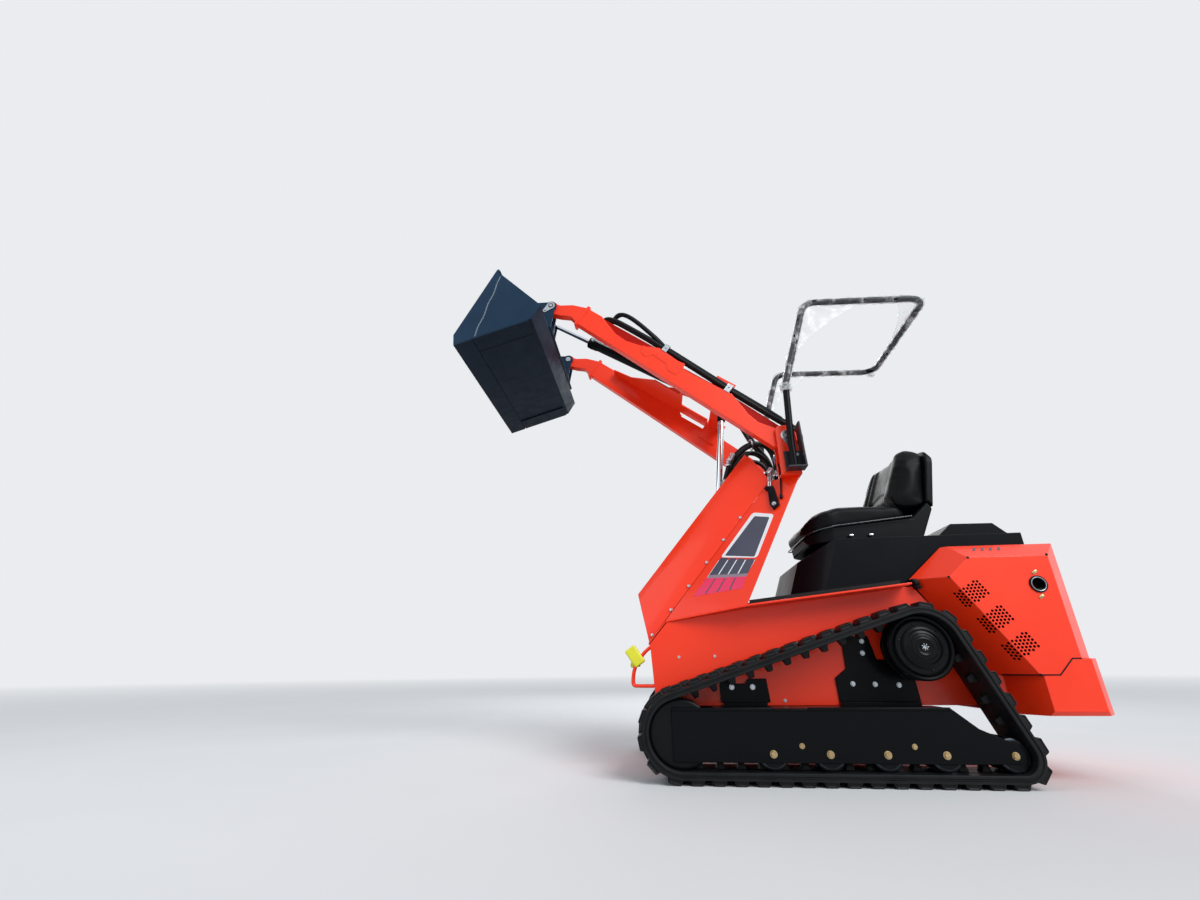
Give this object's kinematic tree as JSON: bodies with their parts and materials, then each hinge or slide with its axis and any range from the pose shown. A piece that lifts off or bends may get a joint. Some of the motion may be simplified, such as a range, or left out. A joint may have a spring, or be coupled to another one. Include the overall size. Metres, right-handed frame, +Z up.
{
  "type": "mini track loader",
  "caption": "Ride-on mini track loader with rubber tracks, raised boom arms, tilting bucket, seat and roll hoop.",
  "frame": {"origin": "middle of the bounding box on the ground", "axes": "+X forward to the bucket, +Y to the operator's left, +Z up"},
  "size_m": [2.49, 1.05, 2.308],
  "materials": {
    "red_paint": "gloss",
    "black_paint": "satin",
    "bucket_paint": "satin",
    "pin_steel": "satin",
    "rod_chrome": "polished",
    "black_plastic": "matte",
    "engine_iron": "matte",
    "black_iron": "satin",
    "seat_vinyl": "satin",
    "track_rubber": "matte",
    "mat_rubber": "matte",
    "hose_rubber": "satin",
    "lamp_yellow": "gloss"
  },
  "bodies": {
    "chassis": {"hull": "red_paint", "deck": "red_paint", "deck_mat": "mat_rubber", "front_cowl": "red_paint", "tower_panels": "red_paint", "dash_panel": "red_paint", "tower_ears": "red_paint", "boom_pivot_pins": "pin_steel", "rops_hoop": "black_paint", "rops_brackets": "black_paint", "engine_cover": "black_plastic", "rear_hood": "red_paint", "rear_bumper": "red_paint", "engine_block": "engine_iron", "exhaust_ring": "pin_steel", "seat_base": "black_plastic", "seat_cushion": "seat_vinyl", "seat_back": "seat_vinyl", "track_left": "track_rubber", "track_right": "track_rubber", "track_frames": "black_paint", "rollers": "black_iron", "idlers": "black_iron", "sprockets": "black_iron", "frame_mounts": "black_paint", "drive_motors": "black_iron", "lift_base": "black_paint", "front_lamp": "lamp_yellow", "lamp_guard": "red_paint", "work_lamps": "black_plastic", "valve_block": "black_iron", "control_levers": "black_plastic"},
    "boom": {"boom_arms": "red_paint", "cross_plate": "red_paint", "boom_hoses": "hose_rubber", "hose_clamps": "pin_steel"},
    "bucket": {"bucket_shell": "bucket_paint", "bucket_hitch": "bucket_paint", "bucket_pins": "pin_steel"},
    "lift_barrel": {"lift_barrel": "black_paint"},
    "lift_rod": {"lift_rod": "rod_chrome"},
    "tilt_barrel": {"tilt_barrel": "black_paint"},
    "tilt_rod": {"tilt_rod": "rod_chrome"}
  },
  "joints": [
    {"name": "boom_lift", "type": "hinge", "parent": "chassis", "child": "boom", "pos_m": [-0.308, 0, 1.347], "axis": [0, -1, 0], "range_deg": [-81.8, 6]},
    {"name": "bucket_tilt", "type": "hinge", "parent": "boom", "child": "bucket", "pos_m": [0.81142, 0, 2.18444], "axis": [0, -1, 0], "range_deg": [-1, 115]},
    {"name": "lift_cylinder_turn", "type": "hinge", "parent": "chassis", "child": "lift_barrel", "pos_m": [0.076, 0, 0.42], "axis": [0, -1, 0], "range_deg": [-2.7, 0.3]},
    {"name": "lift_cylinder_stroke", "type": "slide", "parent": "lift_barrel", "child": "lift_rod", "axis": [-0.1199, 0, 0.9928], "range_m": [-0.4964, 0.0369]},
    {"name": "tilt_cylinder_turn", "type": "hinge", "parent": "boom", "child": "tilt_barrel", "pos_m": [0.07092, 0, 1.77534], "axis": [0, -1, 0], "range_deg": [-0.12, 0.98]},
    {"name": "tilt_cylinder_stroke", "type": "slide", "parent": "tilt_barrel", "child": "tilt_rod", "axis": [0.8421, 0, 0.5394], "range_m": [-0.1908, 0.0022]}
  ],
  "couplings": [
    {"joint": "lift_cylinder_turn", "follows": "boom_lift", "ratio": 0.0316},
    {"joint": "lift_cylinder_stroke", "follows": "boom_lift", "m_per_rad": 0.34735},
    {"joint": "tilt_cylinder_turn", "follows": "bucket_tilt", "ratio": 0.00755},
    {"joint": "tilt_cylinder_stroke", "follows": "bucket_tilt", "m_per_rad": -0.09481}
  ]
}
